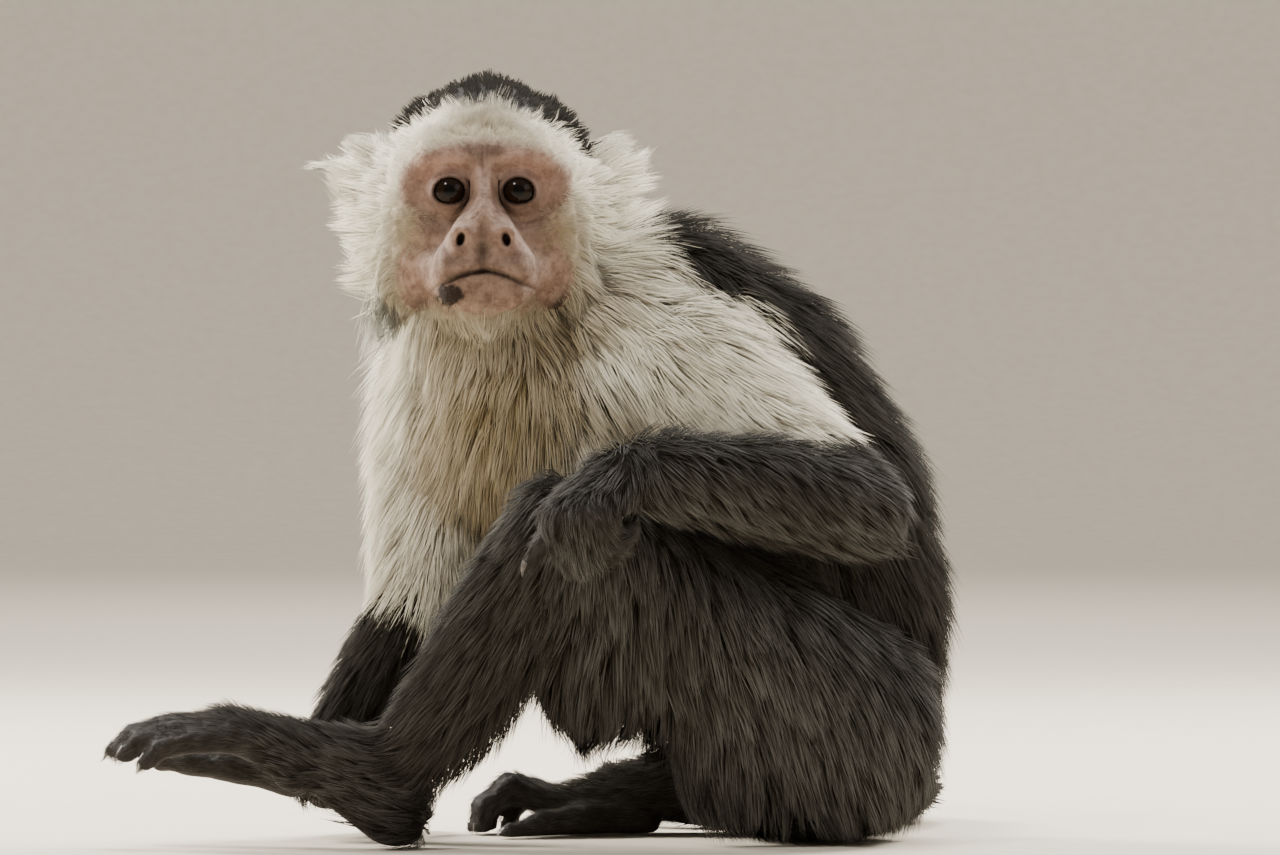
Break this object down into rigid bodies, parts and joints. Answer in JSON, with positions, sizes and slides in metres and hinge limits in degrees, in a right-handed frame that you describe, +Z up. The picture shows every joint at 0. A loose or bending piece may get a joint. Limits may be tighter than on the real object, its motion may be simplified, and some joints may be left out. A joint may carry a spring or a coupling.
{
  "type": "capuchin monkey",
  "caption": "Life-size white-faced capuchin monkey sitting with one knee drawn up, a forearm across it, and its head turned to look sideways.",
  "frame": {"origin": "on the floor, in the middle of the flat under the seat", "axes": "+Z up; -X the way the body faces; -Y the animal's left side, which the head looks towards"},
  "size_m": [0.3311, 0.3274, 0.3028],
  "materials": {
    "pale_coat": "long soft cream hair",
    "dark_coat": "long black-brown hair",
    "ear_skin": "bare thin skin",
    "dark_skin": "bare ridged skin with short hair on the back",
    "eye": "wet dark brown"
  },
  "bodies": {
    "root": {"ear_left": "ear_skin", "ear_right": "ear_skin", "eye_left": "eye", "eye_right": "eye", "foot_left": "dark_skin", "foot_right": "dark_skin", "forearm_left": "dark_coat", "forearm_right": "dark_coat", "hand_left": "dark_skin", "hand_right": "dark_skin", "head": "pale_coat", "hips": "dark_coat", "neck": "pale_coat", "shin_left": "dark_coat", "shin_right": "dark_coat", "tail_1": "dark_coat", "tail_2": "dark_coat", "tail_3": "dark_coat", "tail_4": "dark_coat", "tail_5": "dark_coat", "thigh_left": "dark_coat", "thigh_right": "dark_coat", "trunk": "pale_coat", "upper_arm_left": "pale_coat", "upper_arm_right": "pale_coat"}
  },
  "joints": []
}
